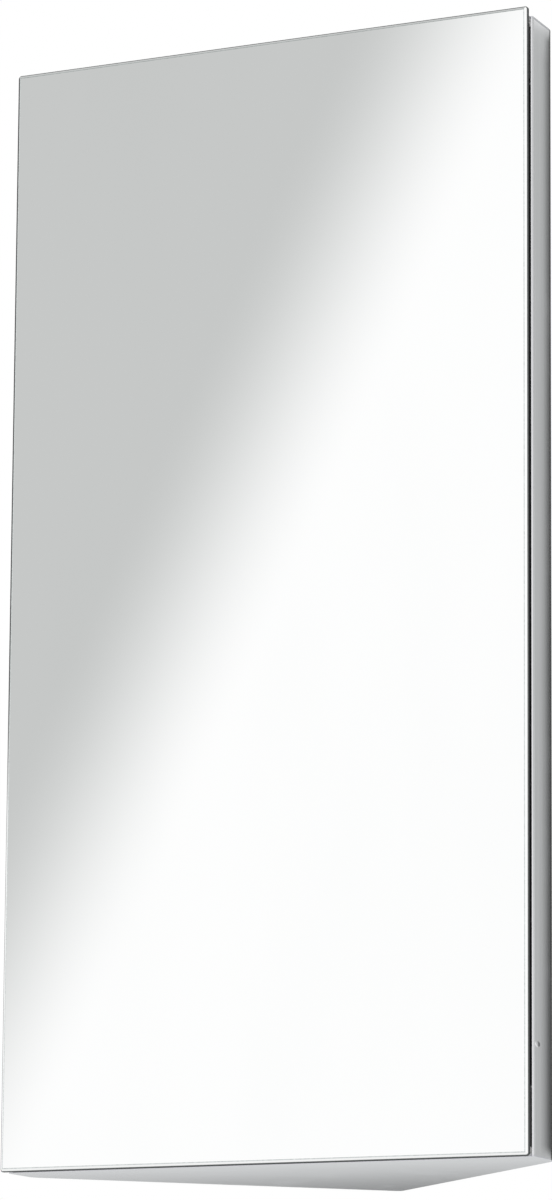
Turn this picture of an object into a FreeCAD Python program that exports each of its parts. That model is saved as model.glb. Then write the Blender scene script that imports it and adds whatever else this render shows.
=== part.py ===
import FreeCAD, Part
import os
import re

import Sketcher

Vector = FreeCAD.Vector
ALONG_Y, UP = Vector(0, 1, 0), Vector(0, 0, 1)
CLOSE = 1e-4

# Driving sizes in millimetres
SIZES = {
    # Whole cabinet
    "cabinet_width": 300,
    "cabinet_height": 600,
    "side_return": 28,
    "body_inset": 0.5,
    "body_drop": 3,
    "knuckle_air": 1.7,
    # Folded body
    "shell_sheet": 1,
    "panel_sheet": 1.2,
    "front_bend": 0.4,
    "elbow_bend": 11,
    "apex_bend": 2,
    "front_flange": 12,
    "panel_flange": 12,
    "panel_corner": 0.8,
    "nest_gap": 0.1,
    "wall_hole": 6.5,
    "wall_hole_reach": 240,
    # Shelves
    "shelf_sheet": 1,
    "shelf_lip": 15,
    "shelf_setback": 12.3,
    "shelf_corner": 1,
    # Mirror pane
    "glass_thick": 3,
    "glass_bevel": 1.5,
    "glass_corner": 1.6,
    "tape_width": 20,
    "tape_spread": 85,
    "tape_end": 52,
    # Door pan
    "pan_sheet": 0.8,
    "pan_depth": 10,
    "pan_gap": 3,
    "pan_corner": 1.2,
    # Pivot hinges
    "pivot_inset": 3,
    "pin_diameter": 2.4,
    "pin_play": 0.05,
    "pin_tail": 1,
    "pin_head": 0.6,
    "strap_sheet": 0.8,
    "strap_gap": 0.2,
    "strap_reach": 44,
    "strap_leaf": 36,
    "strap_margin": 3,
    "knuckle_length": 30,
    "hinge_play": 0.2,
    "bush_length": 3,
    "bracket_sheet": 1,
    "bracket_drop": 1,
    "bracket_leg": 34,
    "bracket_rivet_rise": 5,
    "bracket_rivet_pitch": 12,
    "bracket_gap": 0.5,
    # Rivets and screws
    "rivet_diameter": 2.4,
    "rivet_head": 4.4,
    "rivet_rise": 0.9,
    "rivet_pitch": 16,
    "rivet_margin": 10,
    "crown_share": 0.6,
    "fastener_play": 0.1,
    "screw_diameter": 2.6,
    "screw_head": 5,
    "screw_rise": 1.6,
    "screw_length": 9,
    # Magnetic catch and stops
    "case_depth": 12,
    "case_height": 60,
    "case_floor": 2,
    "case_corner": 1.5,
    "case_screw_pitch": 44,
    "magnet_width": 3,
    "magnet_height": 28,
    "pole_sheet": 1,
    "pole_lead": 0.4,
    "catch_play": 0.1,
    "window_play": 0.3,
    "catch_air": 0.2,
    "strike_height": 34,
    "strike_reach": 34,
    "bumper_diameter": 7,
    "bumper_nose": 5.4,
    "bumper_end": 38,
    # Length by which a cutter runs past what it cuts
    "overrun": 2,
}

SHELVES = ("lower_shelf", "upper_shelf")

# Places worked out from the sizes, y counted backwards from the mirror's front face
ELBOW_SHARE = "(sqrt(2) - 1)"
HALF = "(cabinet_width / 2 - body_inset)"
KNUCKLE = "(pin_diameter / 2 + pin_play + strap_sheet)"
FRONT = f"(glass_thick + strap_gap + 2 * {KNUCKLE} + knuckle_air)"
ELBOW = f"({FRONT} + side_return)"
DEPTH = f"({ELBOW} + {HALF} - (apex_bend + shell_sheet) * {ELBOW_SHARE})"
TOP = "(cabinet_height - body_drop)"
MIDDLE = f"({TOP} / 2)"
MIRROR_FRONT = f"(0 - {DEPTH} / 2)"
BENDS = ("front_bend + shell_sheet", "elbow_bend + shell_sheet", "apex_bend + shell_sheet")
NESTED_BENDS = ("elbow_bend - nest_gap", "apex_bend - nest_gap")

FLANGE_EDGE = f"({HALF} - front_flange)"
INSIDE_LOW = "(panel_sheet + panel_flange)"
PAN_FRONT = "(glass_thick + strap_gap + strap_sheet)"
PAN_HALF = f"({FLANGE_EDGE} - pan_gap)"
PAN_LOW = f"({INSIDE_LOW} + pan_gap)"

PIVOT_X = "(cabinet_width / 2 - pivot_inset)"
PIVOT_Y = f"(glass_thick + strap_gap + {KNUCKLE})"
BRACKET_LOW = "(bracket_drop + bracket_sheet)"
KNUCKLE_LOW = f"({BRACKET_LOW} + bush_length + hinge_play)"
BRACKET_EDGE = f"({PIVOT_X} - {KNUCKLE} - bracket_gap)"
BRACKET_RIVET_X = f"(({FLANGE_EDGE} + {BRACKET_EDGE}) / 2)"
BRACKET_RIVET_Z = f"({INSIDE_LOW} + bracket_rivet_rise)"
STRAP_RIVET_X = f"({PIVOT_X} - strap_reach + rivet_margin)"
STRAP_RIVET_Z = f"({PAN_LOW} + strap_margin + rivet_margin)"

CATCH_X = f"({HALF} - front_flange / 2)"
CASE_HALF = "(front_flange / 2 - front_bend - shell_sheet)"
CASE_FRONT = f"({FRONT} + shell_sheet)"
POLE_FRONT = f"({PAN_FRONT} + catch_air)"
SLOT_BACK = f"({CASE_FRONT} + case_depth - case_floor)"
SLOT_HALF = "(magnet_width / 2 + pole_sheet + catch_play)"

doc = FreeCAD.newDocument("mirror_cabinet")
sheet = doc.addObject("Spreadsheet::Sheet", "sizes")
nodes = []


def fill_sheet():
    """Writes each driving size to a row of the sheet and names its cell."""
    for row, (alias, size) in enumerate(SIZES.items(), 1):
        sheet.set(f"A{row}", alias)
        sheet.set(f"B{row}", str(size))
        sheet.setAlias(f"B{row}", alias)
    doc.recompute()


def named(text):
    """The same sum with each size led by the sheet's name."""
    return re.sub("[a-z_]+", lambda word: f"sizes.{word[0]}" if word[0] in SIZES else word[0], text)


def value(text):
    """What a sum of named sizes comes to."""
    return float(doc.getObject("sizes").evalExpression(named(text)))


def bind(thing, **sums):
    """Ties properties of an object to sums of named sizes."""
    for name, text in sums.items():
        thing.setExpression(name, named(text))


def place(thing, x="0", y="0", z="0", turn=None):
    """Puts an object at a place given by sums, and turns it."""
    if turn:
        thing.Placement.Rotation = turn
    for axis, text in zip("xyz", (x, y, z)):
        thing.setExpression(f"Placement.Base.{axis}", named(text))


def keep(thing, label):
    """Notes a finished sub-part under the name of its file."""
    thing.Label = label
    nodes.append(thing)
    doc.recompute()
    return thing


# Helpers for bodies made of sketches and features


def new_body(label):
    body = doc.addObject("PartDesign::Body", f"{label}_body")
    place(body, y=MIRROR_FRONT)
    return body


def outline(body, plane, offset, corners):
    """A closed straight-sided sketch on one of the body's own planes, its corners held by sizes."""
    sketch = body.newObject("Sketcher::SketchObject", f"{body.Name}_outline")
    support = next(face for face in body.Origin.OriginFeatures if face.Role == plane)
    sketch.AttachmentSupport = (support, "")
    sketch.MapMode = "FlatFace"
    sketch.setExpression("AttachmentOffset.Base.z", named(offset))
    points = [Vector(value(across), value(along), 0) for across, along in corners]
    for number, point in enumerate(points):
        sketch.addGeometry(Part.LineSegment(point, points[(number + 1) % len(points)]), False)
    for number in range(len(points)):
        following = (number + 1) % len(points)
        sketch.addConstraint(Sketcher.Constraint("Coincident", number, 2, following, 1))
    for number, (across, along) in enumerate(corners):
        for kind, text in (("DistanceX", across), ("DistanceY", along)):
            held = Sketcher.Constraint(kind, -1, 1, number, 1, value(text))
            index = sketch.addConstraint(held)
            sketch.setExpression(f"Constraints[{index}]", named(text))
    return sketch


def plan_sketch(body, height, corners):
    """A sketch seen from above at a height."""
    return outline(body, "XY_Plane", height, corners)


def front_sketch(body, depth, corners):
    """A sketch seen from the front at a depth behind the mirror's face."""
    return outline(body, "XZ_Plane", f"0 - {depth}", corners)


def pad(body, sketch, length, backwards=False):
    feature = body.newObject("PartDesign::Pad", f"{body.Name}_pad")
    feature.Profile = sketch
    feature.Reversed = backwards
    bind(feature, Length=length)
    doc.recompute()
    return feature


def pocket(body, sketch, length):
    """Cuts a sketch's outline backwards, or downwards from a plan, and tests that it bit."""
    before = body.Shape.Volume
    feature = body.newObject("PartDesign::Pocket", f"{body.Name}_pocket")
    feature.Profile = sketch
    bind(feature, Length=length)
    doc.recompute()
    if body.Shape.Volume >= before - CLOSE:
        raise RuntimeError(f"{feature.Name} cuts nothing")
    return feature


def drill(body, direction, diameter, depth, x, y, z):
    """Cuts a round hole that starts at a place and runs along a direction."""
    before = body.Shape.Volume
    feature = body.newObject("PartDesign::SubtractiveCylinder", f"{body.Name}_hole")
    bind(feature, Radius=f"({diameter}) / 2", Height=depth)
    place(feature, x, y, z, FreeCAD.Rotation(UP, direction))
    doc.recompute()
    if body.Shape.Volume >= before - CLOSE:
        raise RuntimeError(f"{feature.Name} cuts nothing")
    return feature


def edges_along(shape, direction, places):
    """Names of the straight edges that run along a direction through given points."""
    names = []
    for number, edge in enumerate(shape.Edges, 1):
        start = edge.Vertexes[0].Point
        run = edge.Vertexes[-1].Point - start
        if run.Length > CLOSE and run.cross(direction).Length < CLOSE:
            if any((start - point).cross(direction).Length < CLOSE for point in places):
                names.append(f"Edge{number}")
    return names


def end_faces(shape, direction):
    """Names of the flat faces that lie furthest along a direction."""
    flats = []
    for number, face in enumerate(shape.Faces, 1):
        if isinstance(face.Surface, Part.Plane) and face.normalAt(0, 0).dot(direction) > 1 - CLOSE:
            flats.append((face.CenterOfMass.dot(direction), f"Face{number}"))
    furthest = max(reach for reach, name in flats)
    return [name for reach, name in flats if reach > furthest - CLOSE]


def round_edges(body, direction, corners, radius):
    """Rounds the edges that run along a direction through corners given as sums."""
    points = [Vector(*(value(text) for text in corner)) for corner in corners]
    base = body.Tip
    feature = body.newObject("PartDesign::Fillet", f"{body.Name}_round")
    feature.Base = (base, edges_along(base.Shape, direction, points))
    bind(feature, Radius=radius)
    doc.recompute()
    return feature


def hollow(body, open_sides, wall):
    """Leaves a wall of sheet inside the outline, open on the given sides."""
    base = body.Tip
    faces = [name for side in open_sides for name in end_faces(base.Shape, side)]
    feature = body.newObject("PartDesign::Thickness", f"{body.Name}_hollow")
    feature.Base = (base, faces)
    feature.Reversed = True
    bind(feature, Value=wall)
    doc.recompute()
    return feature


# Helpers for pieces made of primitives


def box(name, x, y, z, width, depth, height):
    block = doc.addObject("Part::Box", name)
    bind(block, Length=width, Width=depth, Height=height)
    place(block, x, y, z)
    return block


def rod(name, direction, diameter, length, x, y, z):
    cylinder = doc.addObject("Part::Cylinder", name)
    bind(cylinder, Radius=f"({diameter}) / 2", Height=length)
    place(cylinder, x, y, z, FreeCAD.Rotation(UP, direction))
    return cylinder


def crown(name, direction, diameter, height, x, y, z):
    """A low tapered head that stands on its base and narrows along a direction."""
    head = doc.addObject("Part::Cone", name)
    bind(head, Radius1=f"({diameter}) / 2", Radius2=f"({diameter}) / 2 * crown_share", Height=height)
    place(head, x, y, z, FreeCAD.Rotation(UP, direction))
    return head


def joined(name, *pieces):
    union = doc.addObject("Part::MultiFuse", name)
    union.Shapes = list(pieces)
    return union


def group(label, pieces):
    """Several separate solids of one kind, kept as one sub-part."""
    compound = doc.addObject("Part::Compound", f"{label}_group")
    compound.Links = pieces
    place(compound, y=MIRROR_FRONT)
    return keep(compound, label)


def at_both_ends():
    """The two ends of the cabinet: name, and how a height above the bottom is counted there."""
    return (("bottom", lambda height: f"({height})"), ("top", lambda height: f"({TOP} - ({height}))"))


def span(end, low, high):
    """The lower of two heights as counted at one end of the cabinet."""
    return low if end == "bottom" else f"({TOP} - ({high}))"


# The folded body


def plan(inset, front):
    """Corners of the five-sided plan set in from the body's face, clockwise from above, left first."""
    half = f"({HALF} - ({inset}))"
    elbow = f"({ELBOW} - ({inset}) * {ELBOW_SHARE})"
    apex = f"({ELBOW} + {HALF} - ({inset}) * sqrt(2))"
    return [(f"0 - {half}", front), (half, front), (half, elbow), ("0", apex), (f"0 - {half}", elbow)]


def round_plan(body, corners, front, elbow, apex):
    """Rounds the upright edges of a five-sided block: two front, two elbows and the apex."""
    left, right, right_elbow, point, left_elbow = [(x, y, "0") for x, y in corners]
    round_edges(body, UP, [left, right], front)
    round_edges(body, UP, [left_elbow, right_elbow], elbow)
    round_edges(body, UP, [point], apex)


def wall_shell():
    """Two sides, two back walls and narrow front flanges, folded from one sheet."""
    body = new_body("wall_shell")
    corners = plan("0", FRONT)
    height = f"({TOP} - 2 * panel_sheet)"
    pad(body, plan_sketch(body, "panel_sheet", corners), height)
    round_plan(body, corners, *BENDS)
    hollow(body, [UP, -UP], "shell_sheet")
    mouth = [(f"0 - {FLANGE_EDGE}", "0"), (FLANGE_EDGE, "0"), (FLANGE_EDGE, TOP), (f"0 - {FLANGE_EDGE}", TOP)]
    pocket(body, front_sketch(body, f"({FRONT} - overrun)", mouth), "shell_sheet + 2 * overrun")
    window_x = f"({SLOT_HALF} + window_play)"
    window_z = "(magnet_height / 2 + catch_play + window_play)"
    window = [(f"0 - {CATCH_X} {side} {window_x}", f"{MIDDLE} {rise} {window_z}")
              for side, rise in ("--", "+-", "++", "-+")]
    pocket(body, front_sketch(body, f"({FRONT} - overrun)", window), "shell_sheet + 2 * overrun")
    through = "shell_sheet + 2 * overrun"
    for side in (-1, 1):
        outward = Vector(side, 1, 0).normalize()
        start = f"({HALF} / 2 - (shell_sheet + overrun) / sqrt(2))"
        for rise in "-+":
            drill(body, outward, "wall_hole", through, f"{side} * {start}",
                  f"{ELBOW} + {start}", f"{MIDDLE} {rise} wall_hole_reach")
    for end, level in at_both_ends():
        for step in ("0", "bracket_rivet_pitch"):
            drill(body, ALONG_Y, "rivet_diameter + fastener_play", through, BRACKET_RIVET_X,
                  f"{FRONT} - overrun", level(f"{BRACKET_RIVET_Z} + {step}"))
    for rise in "-+":
        drill(body, ALONG_Y, "screw_diameter + fastener_play", through, f"0 - {CATCH_X}",
              f"{FRONT} - overrun", f"{MIDDLE} {rise} case_screw_pitch / 2")
    keep(body, "wall_shell")


def end_panel(end):
    """A five-sided cap whose flanges turn into the shell on every side."""
    body = new_body(f"{end}_panel")
    inset = "(shell_sheet + nest_gap)"
    nested = plan(inset, f"({FRONT} + {inset})")
    reach = "(panel_sheet + panel_flange)"
    pad(body, plan_sketch(body, span(end, "0", reach), nested), reach)
    round_plan(body, nested, "panel_corner + panel_sheet", *NESTED_BENDS)
    hollow(body, [UP if end == "bottom" else -UP], "panel_sheet")
    cap = plan("0", FRONT)
    pad(body, plan_sketch(body, span(end, "0", "panel_sheet"), cap), "panel_sheet")
    round_plan(body, cap, *BENDS)
    keep(body, f"{end}_panel")


def shelf(label, number):
    """A pressed tray with its rim turned down, which sits inside the shell."""
    body = new_body(label)
    corners = plan("(shell_sheet + nest_gap)", f"({FRONT} + shelf_setback)")
    level = f"(panel_sheet + ({TOP} - 2 * panel_sheet) * {number} / {len(SHELVES) + 1})"
    pad(body, plan_sketch(body, f"{level} - shelf_lip", corners), "shelf_lip")
    round_plan(body, corners, "shelf_corner + shelf_sheet", *NESTED_BENDS)
    hollow(body, [-UP], "shelf_sheet")
    keep(body, label)


# The door


def rectangle(left, right, low, high):
    return [(left, low), (right, low), (right, high), (left, high)]


def mirror_glass():
    """The mirror pane, its front edges bevelled all round."""
    body = new_body("mirror_glass")
    half = "(cabinet_width / 2)"
    corners = rectangle(f"0 - {half}", half, "0", "cabinet_height")
    pad(body, front_sketch(body, "0", corners), "glass_thick", backwards=True)
    round_edges(body, ALONG_Y, [(x, "0", z) for x, z in corners], "glass_corner")
    base = body.Tip
    rim = [f"Edge{number}" for number, edge in enumerate(base.Shape.Edges, 1)
           if edge.BoundBox.YMax < CLOSE]
    bevel = body.newObject("PartDesign::Chamfer", "mirror_bevel")
    bevel.Base = (base, rim)
    bind(bevel, Size="glass_bevel")
    keep(body, "mirror_glass")


def mirror_tape():
    """Three upright strips of foam tape between the pane and the pan."""
    strips = []
    for side in (-1, 0, 1):
        strip = box("tape_strip", f"{side} * tape_spread - tape_width / 2", "glass_thick", "tape_end",
                    "tape_width", "strap_gap + strap_sheet", f"{TOP} - 2 * tape_end")
        strips.append(strip)
    group("mirror_tape", strips)


def door_pan():
    """A shallow folded tray behind the mirror that nests in the body's opening."""
    body = new_body("door_pan")
    high = f"({TOP} - {PAN_LOW})"
    corners = rectangle(f"0 - {PAN_HALF}", PAN_HALF, PAN_LOW, high)
    pad(body, front_sketch(body, PAN_FRONT, corners), "pan_depth", backwards=True)
    round_edges(body, ALONG_Y, [(x, "0", z) for x, z in corners], "pan_corner + pan_sheet")
    hollow(body, [ALONG_Y], "pan_sheet")
    hole = "rivet_diameter + fastener_play"
    depth = "pan_sheet + 2 * overrun"
    for end, level in at_both_ends():
        for step in ("0", "rivet_pitch"):
            drill(body, ALONG_Y, hole, depth, STRAP_RIVET_X, f"{PAN_FRONT} - overrun",
                  level(f"{STRAP_RIVET_Z} + {step}"))
    keep(body, "door_pan")


# The pivot hinges


def hinge_strap(end, level):
    """A flat leaf on the pan whose end is rolled round the pin."""
    body = new_body(f"{end}_hinge_strap")
    left = f"({PIVOT_X} - strap_reach)"
    leaf_low = f"({PAN_LOW} + strap_margin)"
    knuckle_high = f"({KNUCKLE_LOW} + knuckle_length)"
    leaf = [(left, leaf_low), (PAN_HALF, leaf_low), (PAN_HALF, KNUCKLE_LOW), (PIVOT_X, KNUCKLE_LOW),
            (PIVOT_X, knuckle_high), (PAN_HALF, knuckle_high), (PAN_HALF, f"{leaf_low} + strap_leaf"),
            (left, f"{leaf_low} + strap_leaf")]
    corners = [(x, level(z)) for x, z in leaf]
    pad(body, front_sketch(body, "(glass_thick + strap_gap)", corners), "strap_sheet", backwards=True)
    knuckle = body.newObject("PartDesign::AdditiveCylinder", f"{end}_knuckle")
    bind(knuckle, Radius=KNUCKLE, Height="knuckle_length")
    place(knuckle, PIVOT_X, PIVOT_Y, span(end, KNUCKLE_LOW, knuckle_high))
    doc.recompute()
    drill(body, UP, "pin_diameter + 2 * pin_play", "knuckle_length + 2 * overrun", PIVOT_X, PIVOT_Y,
          f"{span(end, KNUCKLE_LOW, knuckle_high)} - overrun")
    for step in ("0", "rivet_pitch"):
        drill(body, ALONG_Y, "rivet_diameter + fastener_play", "strap_sheet + 2 * overrun", STRAP_RIVET_X,
              "glass_thick - overrun", level(f"{STRAP_RIVET_Z} + {step}"))
    keep(body, f"{end}_hinge_strap")


def hinge_bracket(end, level):
    """An angle on the front flange whose short leg holds the pin clear of the body."""
    body = new_body(f"{end}_hinge_bracket")
    leg_front = f"({FRONT} - bracket_sheet)"
    leg_high = f"({BRACKET_LOW} + bracket_leg)"
    upright = rectangle(FLANGE_EDGE, BRACKET_EDGE, level("bracket_drop"), level(leg_high))
    pad(body, front_sketch(body, leg_front, upright), "bracket_sheet", backwards=True)
    ledge_right = f"({PIVOT_X} + {KNUCKLE})"
    ledge_front = f"({PIVOT_Y} - {KNUCKLE})"
    ledge = rectangle(FLANGE_EDGE, ledge_right, ledge_front, FRONT)
    pad(body, plan_sketch(body, span(end, "bracket_drop", BRACKET_LOW), ledge), "bracket_sheet")
    round_edges(body, UP, [(ledge_right, ledge_front, "0")], KNUCKLE)
    round_edges(body, UP, [(ledge_right, FRONT, "0")], f"{FRONT} - {PIVOT_Y} - hinge_play")
    drill(body, UP, "pin_diameter + 2 * pin_play", "bracket_sheet + 2 * overrun", PIVOT_X, PIVOT_Y,
          f"{span(end, 'bracket_drop', BRACKET_LOW)} - overrun")
    for step in ("0", "bracket_rivet_pitch"):
        drill(body, ALONG_Y, "rivet_diameter + fastener_play", "bracket_sheet + 2 * overrun",
              BRACKET_RIVET_X, f"{leg_front} - overrun", level(f"{BRACKET_RIVET_Z} + {step}"))
    keep(body, f"{end}_hinge_bracket")


def pivot_bush(end):
    """A plain sleeve between the bracket's ledge and the knuckle."""
    high = f"({BRACKET_LOW} + bush_length)"
    low = span(end, BRACKET_LOW, high)
    outside = rod(f"{end}_bush_outside", UP, f"2 * {KNUCKLE}", "bush_length", PIVOT_X, PIVOT_Y, low)
    bore = rod(f"{end}_bush_bore", UP, "pin_diameter + 2 * pin_play", "bush_length + 2 * overrun",
               PIVOT_X, PIVOT_Y, f"{low} - overrun")
    sleeve = doc.addObject("Part::Cut", f"{end}_bush")
    sleeve.Base = outside
    sleeve.Tool = bore
    place(sleeve, y=MIRROR_FRONT)
    keep(sleeve, f"{end}_pivot_bush")


def hinge_pin(end):
    """A headed pin that stands on the bracket's ledge and passes through bush and knuckle."""
    tip = f"({KNUCKLE_LOW} + knuckle_length + pin_tail)"
    shank_low = span(end, "bracket_drop", tip)
    shank = rod(f"{end}_pin_shank", UP, "pin_diameter", f"{tip} - bracket_drop", PIVOT_X, PIVOT_Y, shank_low)
    head_low = "bracket_drop" if end == "bottom" else f"{TOP} - bracket_drop"
    away = -UP if end == "bottom" else UP
    head = crown(f"{end}_pin_head", away, f"2 * {KNUCKLE}", "pin_head", PIVOT_X, PIVOT_Y, head_low)
    pin = joined(f"{end}_pin", shank, head)
    place(pin, y=MIRROR_FRONT)
    keep(pin, f"{end}_hinge_pin")


def rivet(name, x, front, grip, z, forward):
    """A rivet through a stack of sheets, headed in front or behind and flush at its other end."""
    shank = rod(f"{name}_shank", ALONG_Y, "rivet_diameter", grip, x, front, z)
    head_y, facing = (front, -ALONG_Y) if forward else (f"({front} + {grip})", ALONG_Y)
    head = crown(f"{name}_head", facing, "rivet_head", "rivet_rise", x, head_y, z)
    return joined(name, shank, head)


def hinge_rivets():
    """Two rivets in each bracket and two in each strap."""
    brackets, straps = [], []
    for end, level in at_both_ends():
        for step in ("0", "bracket_rivet_pitch"):
            height = level(f"{BRACKET_RIVET_Z} + {step}")
            brackets.append(rivet(f"{end}_bracket_rivet", BRACKET_RIVET_X, f"({FRONT} - bracket_sheet)",
                                  "(bracket_sheet + shell_sheet)", height, True))
        for step in ("0", "rivet_pitch"):
            straps.append(rivet(f"{end}_strap_rivet", STRAP_RIVET_X, "(glass_thick + strap_gap)",
                                "(strap_sheet + pan_sheet)", level(f"{STRAP_RIVET_Z} + {step}"), False))
    group("hinge_bracket_rivets", brackets)
    group("hinge_strap_rivets", straps)


# The magnetic catch and the stops


def catch_case():
    """A small block behind the left flange with a slot for the magnet."""
    body = new_body("catch_case")
    left, right = f"(0 - {CATCH_X} - {CASE_HALF})", f"(0 - {CATCH_X} + {CASE_HALF})"
    block = rectangle(left, right, f"({MIDDLE} - case_height / 2)", f"({MIDDLE} + case_height / 2)")
    pad(body, front_sketch(body, CASE_FRONT, block), "case_depth", backwards=True)
    back = f"({CASE_FRONT} + case_depth)"
    round_edges(body, UP, [(left, back, "0"), (right, back, "0")], "case_corner")
    slot_z = "(magnet_height / 2 + catch_play)"
    slot = rectangle(f"0 - {CATCH_X} - {SLOT_HALF}", f"0 - {CATCH_X} + {SLOT_HALF}",
                     f"{MIDDLE} - {slot_z}", f"{MIDDLE} + {slot_z}")
    pocket(body, front_sketch(body, CASE_FRONT, slot), "case_depth - case_floor")
    for rise in "-+":
        drill(body, ALONG_Y, "screw_diameter + fastener_play", "screw_length + 2 * overrun", f"0 - {CATCH_X}",
              f"{CASE_FRONT} - overrun", f"{MIDDLE} {rise} case_screw_pitch / 2")
    keep(body, "catch_case")


def catch_magnet():
    magnet = box("magnet_block", f"0 - {CATCH_X} - magnet_width / 2",
                 f"{MIRROR_FRONT} + {POLE_FRONT} + pole_lead", f"{MIDDLE} - magnet_height / 2",
                 "magnet_width", f"{SLOT_BACK} - {POLE_FRONT} - pole_lead", "magnet_height")
    keep(magnet, "catch_magnet")


def catch_poles():
    """Two steel plates that flank the magnet and stand a little ahead of it."""
    plates = []
    for side in ("magnet_width / 2", "0 - magnet_width / 2 - pole_sheet"):
        plates.append(box("pole_plate", f"0 - {CATCH_X} + {side}", POLE_FRONT,
                          f"{MIDDLE} - magnet_height / 2", "pole_sheet",
                          f"{SLOT_BACK} - {POLE_FRONT}", "magnet_height"))
    group("catch_poles", plates)


def catch_screws():
    screws = []
    for rise in "-+":
        z = f"({MIDDLE} {rise} case_screw_pitch / 2)"
        shank = rod("screw_shank", ALONG_Y, "screw_diameter", "screw_length", f"0 - {CATCH_X}", FRONT, z)
        head = crown("screw_top", -ALONG_Y, "screw_head", "screw_rise", f"0 - {CATCH_X}", FRONT, z)
        screws.append(joined("case_screw", shank, head))
    group("catch_screws", screws)


def catch_strike():
    """The steel plate welded to the door's pan that the magnet pulls on."""
    body = new_body("catch_strike")
    left = f"(0 - {CATCH_X} - {CASE_HALF})"
    leaf = rectangle(left, f"{left} + strike_reach", f"{MIDDLE} - strike_height / 2",
                     f"{MIDDLE} + strike_height / 2")
    pad(body, front_sketch(body, "(glass_thick + strap_gap)", leaf), "strap_sheet", backwards=True)
    keep(body, "catch_strike")


def door_bumpers():
    """Two tapered rubber stops on the left flange that the mirror's back comes to rest on."""
    stops = []
    for end, level in at_both_ends():
        stop = doc.addObject("Part::Cone", f"{end}_stop")
        bind(stop, Radius1="bumper_diameter / 2", Radius2="bumper_nose / 2",
             Height=f"{FRONT} - glass_thick - catch_air")
        place(stop, f"0 - {CATCH_X}", FRONT, level("bumper_end"), FreeCAD.Rotation(UP, -ALONG_Y))
        stops.append(stop)
    group("door_bumpers", stops)


def write_parts():
    """Stops if any object failed, then writes each sub-part under its name."""
    doc.recompute()
    for thing in doc.Objects:
        if "Invalid" in thing.State or "Error" in thing.State:
            raise RuntimeError(f"{thing.Name} failed: {thing.State}")
    for node in nodes:
        if node.Shape.isNull() or not node.Shape.isValid():
            raise RuntimeError(f"{node.Label} has no valid shape")
    os.makedirs("parts", exist_ok=True)
    for node in nodes:
        node.Shape.exportStep(f"parts/{node.Label}.step")
        bounds = node.Shape.BoundBox
        print(f"{node.Label:22s} solids {len(node.Shape.Solids)} volume {node.Shape.Volume:10.1f}",
              f"x {bounds.XMin:8.2f} {bounds.XMax:8.2f} y {bounds.YMin:8.2f} {bounds.YMax:8.2f}",
              f"z {bounds.ZMin:8.2f} {bounds.ZMax:8.2f}")


fill_sheet()
wall_shell()
for side in ("top", "bottom"):
    end_panel(side)
for count, shelf_label in enumerate(SHELVES, 1):
    shelf(shelf_label, count)
mirror_glass()
mirror_tape()
door_pan()
for end_name, counted in at_both_ends():
    hinge_bracket(end_name, counted)
    hinge_strap(end_name, counted)
    pivot_bush(end_name)
    hinge_pin(end_name)
hinge_rivets()
catch_case()
catch_magnet()
catch_poles()
catch_screws()
catch_strike()
door_bumpers()
write_parts()
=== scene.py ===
import math

import bpy
import numpy as np
from mathutils import Matrix, Vector


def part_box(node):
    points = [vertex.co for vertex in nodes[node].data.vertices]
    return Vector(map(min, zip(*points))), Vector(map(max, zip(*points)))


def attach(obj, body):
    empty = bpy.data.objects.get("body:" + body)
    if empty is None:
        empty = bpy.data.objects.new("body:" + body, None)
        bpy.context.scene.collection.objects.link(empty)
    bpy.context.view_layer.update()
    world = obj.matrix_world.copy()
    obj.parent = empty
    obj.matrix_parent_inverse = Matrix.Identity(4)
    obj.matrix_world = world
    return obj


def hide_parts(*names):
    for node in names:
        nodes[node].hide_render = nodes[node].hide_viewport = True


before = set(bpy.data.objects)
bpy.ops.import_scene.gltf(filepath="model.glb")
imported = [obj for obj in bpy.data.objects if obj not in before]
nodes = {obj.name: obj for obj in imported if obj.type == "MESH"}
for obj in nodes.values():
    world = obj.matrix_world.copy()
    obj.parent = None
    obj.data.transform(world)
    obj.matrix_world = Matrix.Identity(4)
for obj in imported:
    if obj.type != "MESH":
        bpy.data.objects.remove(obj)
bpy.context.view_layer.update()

# Lengths are in metres. The cabinet stands with its underside at height 0 and its mirror facing -y.

MM = 0.001
MICRON = 0.000001
SHELL_TOP = 597 * MM


# Sums on node sockets


class Reading:
    """A node's output on its bench. Sums and products on it add Math nodes."""

    def __init__(self, bench, socket):
        self.bench, self.socket = bench, socket

    def maths(self, operation, *values):
        return self.bench.node("ShaderNodeMath", {"operation": operation}, dict(enumerate(values)))

    def __add__(self, other):
        return self.maths("ADD", self, other)

    def __sub__(self, other):
        return self.maths("SUBTRACT", self, other)

    def __mul__(self, other):
        return self.maths("MULTIPLY", self, other)

    def __truediv__(self, other):
        return self.maths("DIVIDE", self, other)

    def __rsub__(self, other):
        return self.maths("SUBTRACT", other, self)

    __radd__ = __add__

    def squared(self):
        return self * self

    def size(self):
        return self.maths("ABSOLUTE", self)

    def root(self):
        return self.maths("SQRT", self)

    def fraction(self):
        return self.maths("FRACT", self)

    def least(self, other):
        return self.maths("MINIMUM", self, other)

    def most(self, other):
        return self.maths("MAXIMUM", self, other)

    def rise(self, low, high):
        """0 below low, 1 above high, and a smooth step between them; high may be the lower one."""
        settings = {"interpolation_type": "SMOOTHSTEP"}
        return self.bench.node("ShaderNodeMapRange", settings, {0: self, 1: low, 2: high})


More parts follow.
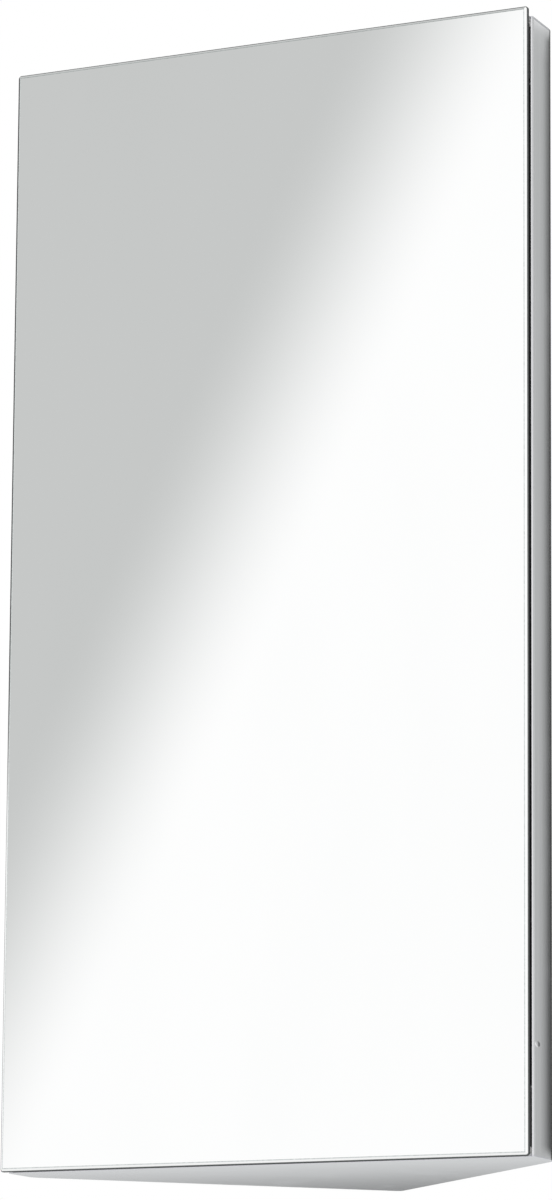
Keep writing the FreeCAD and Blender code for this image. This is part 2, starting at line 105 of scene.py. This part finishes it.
class Bench:
    """Where the nodes of one material or of the world are put together."""

    def __init__(self, owner):
        owner.use_nodes = True
        self.tree = owner.node_tree
        self.tree.nodes.clear()

    def node(self, kind, settings=(), sockets=(), out=0):
        """Adds a node: its settings first, then its sockets' values or links. Gives one output."""
        made = self.tree.nodes.new(kind)
        for name, setting in dict(settings).items():
            setattr(made, name, setting)
        for name, given in dict(sockets).items():
            if isinstance(given, Reading):
                self.tree.links.new(given.socket, made.inputs[name])
            else:
                made.inputs[name].default_value = given
        return Reading(self, made.outputs[out])

    def spot(self):
        """The point on the object."""
        return self.node("ShaderNodeTexCoord", out="Object")

    def parts(self, vector):
        """A vector's shares along x, y and z."""
        split = self.node("ShaderNodeSeparateXYZ", (), {0: vector})
        return [Reading(self, output) for output in split.socket.node.outputs]

    def stretched(self, spot, scale):
        """The point with each direction scaled on its own."""
        return self.node("ShaderNodeMapping", (), {"Vector": spot, "Scale": scale})

    def noise(self, spot, scale=1.0, detail=2.0, roughness=0.5):
        sockets = {"Vector": spot, "Scale": scale, "Detail": detail, "Roughness": roughness}
        return self.node("ShaderNodeTexNoise", (), sockets)

    def cells(self, spot, scale):
        return self.node("ShaderNodeTexVoronoi", (), {"Vector": spot, "Scale": scale})

    def blend(self, factor, first, second):
        """A mix of two colours, by the Mix node's colour sockets 6 and 7 and its colour output 2."""
        pair = {6: first, 7: second}
        for number, shade in pair.items():
            pair[number] = shade if isinstance(shade, Reading) else (*shade, 1)
        return self.node("ShaderNodeMix", {"data_type": "RGBA"}, {0: factor, **pair}, 2)

    def relief(self, height):
        """A normal from a height in metres."""
        return self.node("ShaderNodeBump", (), {"Strength": 1.0, "Distance": 1.0, "Height": height})


def finish_of(name):
    """A new material, its bench and the point on the object."""
    material = bpy.data.materials.new(name)
    bench = Bench(material)
    return material, bench, bench.spot()


def sealed(material, bench, **sockets):
    """Ends a material with one Principled shader whose sockets are given by name."""
    named = {name.replace("_", " "): value for name, value in sockets.items()}
    shader = bench.node("ShaderNodeBsdfPrincipled", (), named)
    output = bench.tree.nodes.new("ShaderNodeOutputMaterial")
    bench.tree.links.new(shader.socket, output.inputs["Surface"])
    return material


# Metals


def brushed_steel(name, along, marks=None, rough=0.24, tone=(1.0, 1.0, 1.0)):
    """Satin stainless steel: long fine scratches along one axis, broad smears and a few wiped patches.

    Height is the sum of three noises drawn out along the grain, plus what marks adds. Tone is how bright
    the steel is beside the other sheets."""
    material, bench, spot = finish_of(name)

    def drawn(across, lengthwise, **kind):
        scale = [lengthwise if axis == along else across for axis in "xyz"]
        return bench.noise(bench.stretched(spot, scale), **kind)

    hair = drawn(5200, 26, detail=3, roughness=0.6)
    streak = drawn(900, 7)
    band = drawn(160, 2.2)
    cloud = bench.noise(spot, 7.5, detail=3)
    smear = bench.noise(spot, 24, detail=4, roughness=0.6).rise(0.52, 0.72)
    height = hair * (1.6 * MICRON) + streak * (2.2 * MICRON) + band * (6 * MICRON)
    shade = streak * 0.35 + band * 0.35 + cloud * 0.3
    roughness = rough + hair * 0.05 + streak * 0.05 + smear * 0.035
    if marks:
        height, dark = marks(*bench.parts(spot), height)
        shade = shade - dark
    dim, pale = np.array([(0.65, 0.652, 0.664), (0.735, 0.738, 0.75)]) * tone
    return sealed(material, bench, Base_Color=bench.blend(shade.rise(0.25, 0.75), dim, pale), Metallic=1.0,
                  Roughness=roughness, Normal=bench.relief(height))


def from_ends(z):
    """Distance from the nearer end of the shell."""
    return z.least(SHELL_TOP - z)


def shell_marks(x, y, z, height):
    """What folding and welding leave in the shell: the new height, and how dark the marks are.

    Each side falls away towards its rear bend with the cube of the distance from the front bend, less so
    by the end panels, and twists forwards a little at its top brim. Spot welds press round dimples into
    the back walls level with the shelves and end panels, and a flat pip stands low on the right side."""
    side_face, fade = 147.8 * MM, 0.6 * MM
    side, right = [(reach - side_face).rise(0, fade) for reach in (x.size(), x)]

    front_bend, flat, held, fall = -81.6 * MM, 22.5 * MM, 8 * MM, 1.4 * MM
    run = ((y - front_bend) / flat).least(1.0).most(0.0)
    loose = from_ends(z).rise(0.0, held)
    brim_depth, brim_lean = 20 * MM, 3.5 * MM
    brim = ((z - (SHELL_TOP - brim_depth)) / brim_depth).most(0.0)
    lean = brim * brim.root() * run * (1 - run * 0.5)
    bow = side * (lean * brim_lean - loose * run * run * run * fall)

    pitch, slant, levels = 42 * MM, 1.414, (7.5, 192, 390, 589.5)
    back_start, back_fade, weld_sink = -45 * MM, 4 * MM, 90 * MICRON
    step = (x / pitch).fraction() - 0.5
    row, *others = [(z - level * MM).squared() for level in levels]
    for other in others:
        row = row.least(other)
    from_weld = ((step * pitch * slant).squared() + row).root()
    weld = (1 - from_weld.rise(1.4 * MM, 2.4 * MM)) * (y - back_start).rise(0, back_fade)

    pip_y, pip_z, pip_length, pip_rise = -78.6 * MM, 57.5 * MM, 2, 260 * MICRON
    from_pip = (((y - pip_y) / pip_length).squared() + (z - pip_z).squared()).root()
    pip = (1 - from_pip.rise(0.4 * MM, 1.9 * MM)) * right
    return height + bow - weld * weld_sink + pip * pip_rise, weld * 0.12 + pip * 0.1


def panel_crown(x, y, z, height):
    """An end panel's slight crown and its deburred rim: the new height, and no dark marks.

    The crown falls with the square of the distance from the middle, and the rim with the square of the
    depth below its own inner line."""
    half_depth, crown, rim_depth, rim_fall = 90 * MM, 1.6 * MM, 0.42 * MM, 0.21 * MM
    rim = (1 - from_ends(z) / rim_depth).most(0.0)
    return height + (1 - (y / half_depth).squared()) * crown - rim.squared() * rim_fall, 0.0


def plated_steel(name, painted_gap_shade=0.0):
    """Zinc plated sheet: a soft crystalline mottle and fine rolling lines.

    The last argument says how dark a greasy coat lies round the hinge pins; it is painted shade, near black
    to stand for the shadow in the hinge gap, fading out beside the knuckle."""
    material, bench, spot = finish_of(name)
    crystal = bench.cells(spot, 420)
    grain = bench.noise(bench.stretched(spot, (3000, 3000, 180)))
    cloud = bench.noise(spot, 60, detail=3)
    shade = (crystal * 0.5 + grain * 0.3 + cloud * 0.4).rise(0.2, 1.0)
    colour = bench.blend(shade, (0.50, 0.505, 0.52), (0.66, 0.665, 0.67))
    # Painted shade: a near-black coat round the hinge pins stands for the shadow in the hinge gap.
    if painted_gap_shade:
        film_edge, film_end, ragged, painted_gap_black = 143.5 * MM, 145 * MM, 1.2 * MM, (0.020, 0.019, 0.018)
        x, y, z = bench.parts(spot)
        painted_gap_mask = (x + cloud * ragged).rise(film_edge, film_end) * painted_gap_shade
        colour = bench.blend(painted_gap_mask, colour, painted_gap_black)
    height = grain * (2 * MICRON) + crystal * (4 * MICRON)
    return sealed(material, bench, Base_Color=colour, Metallic=1.0, Roughness=0.3 + cloud * 0.2,
                  Normal=bench.relief(height))


def turned_steel(name):
    """Bright steel wire and rivets with fine drawing marks."""
    material, bench, spot = finish_of(name)
    ring = bench.noise(bench.stretched(spot, (300, 300, 6000)))
    cloud = bench.noise(spot, 300, detail=3)
    colour = bench.blend(cloud.rise(0.3, 0.7), (0.60, 0.60, 0.61), (0.72, 0.72, 0.73))
    return sealed(material, bench, Base_Color=colour, Metallic=1.0, Roughness=0.16 + cloud * 0.14,
                  Normal=bench.relief(ring * (1.5 * MICRON)))


# Mirror


def silvered_glass(name):
    """The silvered face: a clear reflection with the faintest wiping haze."""
    material, bench, spot = finish_of(name)
    haze = bench.noise(bench.stretched(spot, (9, 9, 3)), detail=4, roughness=0.55).rise(0.4, 0.75)
    colour = bench.blend(haze, (0.985, 0.989, 0.988), (0.972, 0.978, 0.976))
    return sealed(material, bench, Base_Color=colour, Metallic=1.0, Roughness=haze * 0.012 + 0.002)


def edge_line_painted_shade(name, level):
    """A thin line at either side of the polished bevel, its reflection dimmed by level as painted shade."""
    material, bench, spot = finish_of(name)
    chip = bench.noise(spot, 900, detail=3)
    # Painted shade: level dims the line's reflection, standing for the shade and dark reflection along the
    # pane's edge.
    dim, pale = np.array([(0.62, 0.655, 0.655), (1.38, 1.45, 1.44)]) * level
    colour = bench.blend(chip, dim, pale)
    return sealed(material, bench, Base_Color=colour, Metallic=1.0, Roughness=0.12 + chip * 0.1)


def backing_paint_and_gap_shade(name):
    """Protective paint, rolled on the back and round the ground edge, made near black so that it also
    paints the shade in the gap beside the pane.
    """
    material, bench, spot = finish_of(name)
    stipple = bench.noise(spot, 1400, detail=3, roughness=0.6)
    roll = bench.noise(bench.stretched(spot, (90, 90, 12)))
    # Painted shade: the near-black colour makes the pane's edge, and the steel that reflects it, read as
    # the shadowed gap.
    colour = bench.blend(roll * 0.6 + stipple * 0.4, (0.012, 0.013, 0.014), (0.030, 0.031, 0.033))
    return sealed(material, bench, Base_Color=colour, Roughness=0.5 + stipple * 0.25,
                  Specular_IOR_Level=0.04, Normal=bench.relief(stipple * (12 * MICRON)))


# Plastics and others


def moulded_nylon(name):
    """White nylon with a fine spark-eroded mould grain."""
    material, bench, spot = finish_of(name)
    grain = bench.noise(spot, 3200)
    cloud = bench.noise(spot, 90)
    colour = bench.blend(cloud, (0.80, 0.80, 0.775), (0.88, 0.88, 0.862))
    return sealed(material, bench, Base_Color=colour, Roughness=0.38 + grain * 0.16,
                  Subsurface_Weight=0.08, Subsurface_Radius=(2 * MM, 2 * MM, 2 * MM),
                  Normal=bench.relief(grain * (6 * MICRON)))


def sintered_magnet(name):
    """Ferrite: near black, with pressed grains that catch a little light."""
    material, bench, spot = finish_of(name)
    grain = bench.cells(spot, 2600)
    cloud = bench.noise(spot, 160, detail=3)
    colour = bench.blend(grain.rise(0.2, 0.9), (0.045, 0.046, 0.05), (0.105, 0.105, 0.11))
    return sealed(material, bench, Base_Color=colour, Roughness=0.55 + cloud * 0.2,
                  Normal=bench.relief(grain * (30 * MICRON)))


def soft_rubber(name):
    """Pale elastomer, faintly sticky looking, with dust in its pores."""
    material, bench, spot = finish_of(name)
    pore = bench.noise(spot, 1900, detail=3, roughness=0.6)
    dust = bench.noise(spot, 260, detail=3).rise(0.45, 0.8)
    colour = bench.blend(dust, (0.76, 0.76, 0.735), (0.64, 0.64, 0.62))
    return sealed(material, bench, Base_Color=colour, Roughness=0.55 + pore * 0.2,
                  Subsurface_Weight=0.15, Subsurface_Radius=(3 * MM, 3 * MM, 3 * MM),
                  Normal=bench.relief(pore * (15 * MICRON)))


def foam(name):
    """Closed-cell foam tape: a net of small bubbles cut through at its sides."""
    material, bench, spot = finish_of(name)
    bubble = bench.cells(spot, 2200)
    cloud = bench.noise(spot, 45)
    colour = bench.blend(bubble.rise(0.1, 0.8) * 0.7 + cloud * 0.3, (0.72, 0.72, 0.70), (0.88, 0.88, 0.87))
    return sealed(material, bench, Base_Color=colour, Roughness=0.75 + cloud * 0.2,
                  Normal=bench.relief(bubble * (60 * MICRON)))


# Surfaces worked out as arrays


def mesh_piece(name, points, faces, crease, materials, faced=None):
    """Puts points and faces into a mesh, turned outwards, smooth apart from creases over an angle.

    The sign of the volume, a sum of corner triple products over triangle fans, tells which way it faces.
    Faced is each face's place in the list of materials."""
    points = np.asarray(points, float)
    volume = 0.0
    for face in faces:
        for second, third in zip(face[1:-1], face[2:]):
            volume += np.dot(points[face[0]], np.cross(points[second], points[third]))
    if volume < 0:
        faces = [face[::-1] for face in faces]
    mesh = bpy.data.meshes.new(name)
    mesh.from_pydata(points.tolist(), [], faces)
    for material in materials:
        mesh.materials.append(material)
    if faced is not None:
        mesh.polygons.foreach_set("material_index", np.asarray(faced, np.int32))
    mesh.shade_smooth()
    mesh.set_sharp_from_angle(angle=math.radians(crease))
    mesh.update()
    piece = bpy.data.objects.new(name, mesh)
    bpy.context.scene.collection.objects.link(piece)
    return piece


def strips(rings, round_the, closed):
    """Quads between neighbouring rings of as many points; a closed set joins its last ring to its first."""
    ring = np.arange(rings if closed else rings - 1)[:, None]
    step = np.arange(round_the)[None, :]
    upper, lower = ring * round_the, (ring + 1) % rings * round_the
    after = (step + 1) % round_the
    return np.stack([upper + step, lower + step, lower + after, upper + after], -1).reshape(-1, 4)


def turned(name, profile, seats, axis, materials, crease=32, sides=40, press=None):
    """Alike pieces turned about one axis, one on each seat.

    A point is the seat plus radius times (cosine, sine) of the angle in the plane square to the axis,
    plus height times the axis. A profile that starts and ends at radius 0 closes in two poles, any other
    profile is a closed loop. Press lowers every point by a depth worked out from its place across the
    axis."""
    profile, seats = np.asarray(profile, float), np.atleast_2d(np.asarray(seats, float))
    up = np.asarray(axis, float)
    upright = abs(up[2]) > 0.9
    across = np.cross(up, (1.0, 0.0, 0.0) if upright else (0.0, 0.0, 1.0))
    across /= np.linalg.norm(across)
    along = np.cross(up, across)
    poles = profile[0, 0] == 0 and profile[-1, 0] == 0
    rings = profile[1:-1] if poles else profile
    angle = np.linspace(0, 2 * np.pi, sides, endpoint=False)
    east, north = rings[:, :1] * np.cos(angle), rings[:, :1] * np.sin(angle)
    height = np.repeat(rings[:, 1:], sides, 1)
    tops = [profile[0, 1], profile[-1, 1]]
    if press:
        height = height - press(east, north)
        tops[0] -= press(np.zeros(1), np.zeros(1))[0]
    one = (east[..., None] * across + north[..., None] * along + height[..., None] * up).reshape(-1, 3)
    quads = strips(len(rings), sides, not poles)
    faces, points = [], []
    for number, seat in enumerate(seats):
        start = number * (len(one) + 2 * poles)
        points.append(one + seat)
        faces += (quads + start).tolist()
        if poles:
            points.append(np.outer(tops, up) + seat)
            top, bottom = start + len(one), start + len(one) + 1
            last = start + (len(rings) - 1) * sides
            turn = np.arange(sides)
            after = (turn + 1) % sides
            faces += np.stack([np.full(sides, top), start + turn, start + after], 1).tolist()
            faces += np.stack([np.full(sides, bottom), last + after, last + turn], 1).tolist()
    return mesh_piece(name, np.concatenate(points), faces, crease, materials)


def rounded_outline(low, high, radius, inset, steps=8):
    """Points along an upright rectangle with round corners, moved inwards by an inset.

    A corner is its centre plus the radius left there times (cosine, sine) of a quarter turn. The radius
    shrinks with the inset, down to almost a sharp mitre."""
    mitre = 0.04 * MM
    turn = np.linspace(0, np.pi / 2, steps + 1)
    left_over = max(radius - inset, mitre)
    draw = inset + left_over
    points = []
    for quarter, (across, along) in enumerate(((1, 1), (-1, 1), (-1, -1), (1, -1))):
        centre = ((high.x if across > 0 else low.x) - across * draw,
                  (high.z if along > 0 else low.z) - along * draw)
        angle = turn + quarter * np.pi / 2
        points.append(centre + left_over * np.column_stack([np.cos(angle), np.sin(angle)]))
    return np.concatenate(points)


def lofted_plate(name, low, high, radius, section, materials, finish_by_strip, crease):
    """A plate whose rim follows a section carried round a rectangle with round corners.

    Each ring is the outline moved inwards by the section's inset and put at the section's depth. The
    first and last rings are closed by flat faces, which have the first and last finish."""
    rings = []
    for inset, depth in section:
        outline = rounded_outline(low, high, radius, inset)
        rings.append(np.column_stack([outline[:, 0], np.full(len(outline), depth), outline[:, 1]]))
    count = len(outline)
    first, *between, last = [materials.index(finish) for finish in finish_by_strip]
    faces = strips(len(rings), count, False).tolist()
    start = (len(rings) - 1) * count
    faces += [list(range(count)), list(range(start, start + count))[::-1]]
    faced = [*np.repeat(between, count).tolist(), first, last]
    return mesh_piece(name, np.concatenate(rings), faces, crease, materials, faced)


# Finishes by node

steel_upright = brushed_steel("satin_steel_upright", "z")
steel_shell = brushed_steel("satin_steel_shell", "z", shell_marks, 0.15, (1.12, 1.12, 1.12))
steel_across = brushed_steel("satin_steel_across", "x")
steel_panel = brushed_steel("satin_steel_panel", "x", panel_crown, 0.13, (1.0, 1.0, 1.03))
zinc = plated_steel("zinc_plated_steel")
# The knuckle's near-black coat is painted shade for the hinge gap.
zinc_knuckle = plated_steel("zinc_plated_knuckle", painted_gap_shade=0.94)
bright = turned_steel("bright_turned_steel")
silver = silvered_glass("silvered_glass")
# The arris is darkened to paint the shade along the pane's edge, and the seam to paint a darker reflection.
arris = edge_line_painted_shade("edge_line_painted_shade", level=0.137)
seam = edge_line_painted_shade("bevel_seam_painted_shade", level=0.68)
# Real backing paint, near black as painted shade for the gap beside the pane.
paint = backing_paint_and_gap_shade("backing_paint_and_gap_shade")
nylon = moulded_nylon("white_nylon")
ferrite = sintered_magnet("sintered_ferrite")
rubber = soft_rubber("pale_rubber")
tape = foam("foam_tape_cells")

finishes = {
    "wall_shell": steel_shell, "top_panel": steel_panel, "bottom_panel": steel_panel,
    "upper_shelf": steel_across, "lower_shelf": steel_across, "door_pan": steel_upright,
    "top_hinge_bracket": zinc, "bottom_hinge_bracket": zinc, "top_hinge_strap": zinc_knuckle,
    "bottom_hinge_strap": zinc_knuckle, "catch_poles": zinc, "catch_strike": zinc,
    "top_hinge_pin": bright, "bottom_hinge_pin": bright, "hinge_bracket_rivets": bright,
    "hinge_strap_rivets": bright, "catch_screws": bright, "top_pivot_bush": nylon,
    "bottom_pivot_bush": nylon, "catch_case": nylon, "catch_magnet": ferrite,
    "door_bumpers": rubber, "mirror_tape": tape, "mirror_glass": silver,
}
for label, finish in finishes.items():
    for slot in nodes[label].material_slots:
        slot.material = finish


# The mirror pane


def mirror_pane():
    """The pane as ground and polished: sealed edge in near-black paint that also paints the gap's shade, an
    arris darkened as painted shade, bevel, and a fine seam with a painted darker reflection before the
    face.

    The section gives insets and depths below the face. The seam leans by a tenth of a millimetre, which
    at the corners is eight degrees, so every crease over six degrees is kept sharp."""
    low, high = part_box("mirror_glass")
    front, back = low.y, high.y
    radius, chamfer, crease = 1.6 * MM, 0.2 * MM, 6
    section = [(chamfer, back), (0, back - chamfer)]
    for inset, depth in ((0, 1.62), (0.55, 1.1), (1.56, 0.1), (2.06, 0)):
        section.append((inset * MM, front + depth * MM))
    piece = lofted_plate("mirror_pane", low, high, radius, section, [silver, arris, paint, seam],
                         [paint, paint, paint, arris, silver, seam, silver], crease)
    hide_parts("mirror_glass")
    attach(piece, "door")


mirror_pane()


# Rivets, screws, bushes and stops


def dome(radius, rise, steps=7):
    """Rings of a shallow cap of a sphere from its pole to its rim: radius times sine, rise times cosine."""
    turn = np.linspace(0, np.pi / 2, steps)
    return np.column_stack([radius * np.sin(turn), rise * np.cos(turn)])


def hinge_rivets():
    """Snap heads with a fine land at the foot, on shanks that end flush. The profile is in millimetres."""
    rise, dome_radius, land_radius, land, shank = 0.9, 2.16, 2.18, 0.1, 1.2
    from_end = 2.2 * MM
    for label, body, facing, grip, pitch in (("hinge_bracket_rivets", "cabinet", -1, 2.0, 12 * MM),
                                             ("hinge_strap_rivets", "door", 1, 1.6, 16 * MM)):
        low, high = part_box(label)
        x = (low.x + high.x) / 2
        head = np.array([[0, rise], *dome(dome_radius, rise)[1:-1], [land_radius, land], [land_radius, 0.0],
                         [shank, 0.0], [shank, -grip], [0, -grip]]) * MM
        seat_y = low.y + rise * MM if facing < 0 else high.y - rise * MM
        levels = [low.z + from_end, low.z + from_end + pitch, high.z - from_end - pitch, high.z - from_end]
        seats = [(x, seat_y, level) for level in levels]
        piece = turned(f"{label}_formed", head, seats, (0, facing, 0), [bright])
        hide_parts(label)
        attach(piece, body)


hinge_rivets()


def cross_recess(across, along):
    """Depth of a cross recess: two tapered slots that fade with distance from their own middle lines."""
    reach, half, flank, end, depth = 1.45 * MM, 0.34 * MM, 0.14 * MM, 0.5 * MM, 0.95 * MM
    first, second = [np.clip((half - abs(wide)) / flank, 0, 1) * np.clip((reach - abs(long)) / end, 0, 1)
                     for wide, long in ((across, along), (along, across))]
    return depth * np.maximum(first, second)


def case_screws():
    """Pan head screws with a cross recess that hold the catch. The profile is in millimetres.

    The crown falls with the square of the radius, and the thread is a zigzag between root and crest. The
    recess lowers every point within its radius, so it also bends the thread, out of sight in the case."""
    low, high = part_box("catch_screws")
    x = (low.x + high.x) / 2
    top, crown_radius, crown_fall, recess_radius = 1.58, 2.0, 0.32, 1.9 * MM
    turns, pitch, crest, root, thread_start = 12, 0.6, 1.28, 1.02, -0.9
    head = [[0, top]]
    for radius in np.linspace(0.12, crown_radius, 20):
        head.append([radius, top - crown_fall * (radius / crown_radius) ** 2])
    head += [[2.24, 1.08], [2.42, 0.82], [2.48, 0.5], [2.48, 0.06], [2.42, 0], [1.3, 0]]
    for turn in range(turns):
        start = thread_start - turn * pitch
        head += [[crest, start], [root, start - pitch / 2]]
    head += [[1.0, -8.6], [0, -9.0]]
    seat_y, from_end = low.y + 1.6 * MM, 2.5 * MM
    seats = [(x, seat_y, low.z + from_end), (x, seat_y, high.z - from_end)]

    def pressed(across, along):
        return np.where(np.hypot(across, along) < recess_radius, cross_recess(across, along), 0)

    piece = turned("catch_screws_formed", np.array(head) * MM, seats, (0, -1, 0), [bright], sides=72,
                   press=pressed)
    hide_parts("catch_screws")
    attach(piece, "cabinet")


case_screws()


def pivot_bushes():
    """Moulded sleeves with rounded ends and a shallow waist."""
    bore, edge = 1.25 * MM, 0.35 * MM
    for label in ("top_pivot_bush", "bottom_pivot_bush"):
        low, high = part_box(label)
        outside, height = (high.x - low.x) / 2, high.z - low.z
        turn = np.linspace(0, np.pi / 2, 5)
        upper = np.column_stack([outside - edge + edge * np.sin(turn), height - edge + edge * np.cos(turn)])
        lower = np.column_stack([outside - edge + edge * np.cos(turn), edge - edge * np.sin(turn)])
        waist = [[outside - dip * MM, height * share]
                 for dip, share in ((0.06, 0.62), (0.08, 0.5), (0.06, 0.38))]
        profile = np.concatenate([[[bore, height]], upper, waist, lower, [[bore, 0]]])
        seat = ((low.x + high.x) / 2, (low.y + high.y) / 2, low.z)
        piece = turned(f"{label}_moulded", profile, [seat], (0, 0, 1), [nylon])
        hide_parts(label)
        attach(piece, "cabinet")


pivot_bushes()


def soft_stops():
    """Moulded rubber stops: a flat foot, drawn-in flanks and a rounded nose."""
    low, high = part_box("door_bumpers")
    x, foot, nose = (low.x + high.x) / 2, high.y, high.y - low.y
    flat, bend, foot_radius = 1.9 * MM, 0.8 * MM, 3.5 * MM
    turn = np.linspace(0, np.pi / 2, 6)
    cap = np.column_stack([flat + bend * np.sin(turn), nose - bend + bend * np.cos(turn)])
    flank = np.array([[2.72, 2.6], [2.8, 1.6], [3.05, 0.9], [3.46, 0.45], [3.5, 0.1], [3.5, 0]]) * MM
    profile = np.concatenate([[[0, nose]], cap, flank, [[0, 0]]])
    seats = [(x, foot, low.z + foot_radius), (x, foot, high.z - foot_radius)]
    piece = turned("door_stops", profile, seats, (0, -1, 0), [rubber])
    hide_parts("door_bumpers")
    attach(piece, "cabinet")


soft_stops()


# Floor, light and camera


def studio_floor():
    """A wide pale floor well below the hung cabinet. In reflections the world's pale ground stands in."""
    material, bench, spot = finish_of("pale_floor")
    fleck = bench.noise(spot, 2.5, detail=3)
    colour = bench.blend(fleck, (0.88, 0.88, 0.88), (0.91, 0.91, 0.91))
    sealed(material, bench, Base_Color=colour, Roughness=0.75 + fleck * 0.1)
    reach, below, sides = 40.0, -1.35, 96
    angle = np.linspace(0, 2 * np.pi, sides, endpoint=False)
    points = np.column_stack([reach * np.cos(angle), reach * np.sin(angle), np.full(sides, below)])
    mesh = bpy.data.meshes.new("studio_floor")
    mesh.from_pydata(points.tolist(), [], [list(range(sides))])
    mesh.materials.append(material)
    floor = bpy.data.objects.new("studio_floor", mesh)
    floor.visible_glossy = False
    bpy.context.scene.collection.objects.link(floor)


studio_floor()


def studio_walls():
    """The world: white to the camera, plain light on matt surfaces, and walls of a studio in reflections.

    A reflected direction sees white to the front and its right, grey to the left, beside and behind, and
    white again at the far left. The ground is pale. Dark stretches lie round the horizon behind the cabinet
    and over the far left, and the ceiling is white except on the left. Each step is a smooth one on the
    direction's share along an axis."""
    grey, ground, plain, darkness = 0.581, 0.9, 0.78, 0.88
    towards_white, towards_back = (0.8028, -0.4423, -0.3998), (-0.25, 0.968, 0.0)
    neutral, greenish = (1.0, 1.0, 1.0), (0.989, 1.006, 0.998)
    world = bpy.data.worlds.new("studio")
    bpy.context.scene.world = world
    bench = Bench(world)
    way = bench.node("ShaderNodeTexCoord", out="Generated")
    right, backwards, up = bench.parts(way)

    def share(axis):
        return right * axis[0] + backwards * axis[1] + up * axis[2]

    beside = right.rise(0.3, 0.6) * backwards.rise(-0.30, 0.0) * (1 - backwards.rise(0.60, 0.76))
    white = share(towards_white).rise(-0.0541, -0.0168) * (1 - beside)
    white = white.most(right.rise(-0.66, -0.74))
    wall = grey + white * (1 - grey)
    wall = wall + up.rise(0.0, -0.12) * (ground - wall)
    horizon = share(towards_back).rise(0.79, 0.94) * (1 - up.rise(0.30, 0.62)) * up.rise(-0.20, 0.01)
    far_left = right.rise(-0.70, -0.78) * backwards.rise(0.20, 0.35) * up.rise(0.14, 0.18)
    wall = wall * (1 - horizon.most(far_left) * darkness)
    ceiling = up.rise(0.34, 0.60) * right.rise(-0.33, -0.10)
    seen = wall + ceiling * (1.0 - wall)
    rays = bench.node("ShaderNodeLightPath").socket.node.outputs
    camera, glossy, clear = [Reading(bench, rays[f"Is {kind} Ray"])
                             for kind in ("Camera", "Glossy", "Transmission")]
    level = plain + glossy * (seen - plain)
    level = level + camera.most(clear) * (1.0 - level)
    tint = bench.blend((1 - white) * glossy, neutral, greenish)
    shader = bench.node("ShaderNodeBackground", (), {"Color": tint, "Strength": level})
    output = bench.tree.nodes.new("ShaderNodeOutputWorld")
    bench.tree.links.new(shader.socket, output.inputs["Surface"])


studio_walls()


def softbox(name, place, power):
    """A soft square lamp that shines on the cabinet's middle and isn't itself seen in the mirror."""
    size, middle = 1.6, (0, 0, 0.3)
    light = bpy.data.lights.new(name, "AREA")
    light.shape, light.size, light.energy = "SQUARE", size, power
    lit = bpy.data.objects.new(name, light)
    lit.location = place
    lit.rotation_euler = (Vector(middle) - Vector(place)).to_track_quat("-Z", "Y").to_euler()
    lit.visible_glossy = False
    lit.visible_camera = False
    bpy.context.scene.collection.objects.link(lit)


softbox("key_softbox", (-1.7, -2.3, 2.3), 34)
softbox("fill_softbox", (2.2, -2.0, 0.3), 7)


def photo_camera():
    """A long lens low on the right, looking up at the mirror.

    The focal length and the row of the optical axis are in pixels of the photograph's height."""
    place = (1.05207, -2.33595, -0.21000)
    yaw, pitch, roll = np.radians([24.934, 9.397, 0.433])
    photo_height, focal, axis_row, sensor = 1200, 4823.82, 780, 36
    forward = np.array([-np.sin(yaw) * np.cos(pitch), np.cos(yaw) * np.cos(pitch), np.sin(pitch)])
    level = np.cross(forward, (0, 0, 1))
    level /= np.linalg.norm(level)
    upright = np.cross(level, forward)
    right = np.cos(roll) * level + np.sin(roll) * upright
    up = np.cos(roll) * upright - np.sin(roll) * level
    data = bpy.data.cameras.new("photo_camera")
    data.sensor_width, data.sensor_fit = sensor, "AUTO"
    data.lens = focal * sensor / photo_height
    data.shift_y = (axis_row - photo_height / 2) / photo_height
    data.clip_start, data.clip_end = 0.05, 200
    camera = bpy.data.objects.new("photo_camera", data)
    turn = Matrix([right, up, -forward]).transposed().to_4x4()
    camera.matrix_world = Matrix.Translation(place) @ turn
    bpy.context.scene.collection.objects.link(camera)
    bpy.context.scene.camera = camera


photo_camera()
bpy.context.scene.view_settings.view_transform = "Standard"
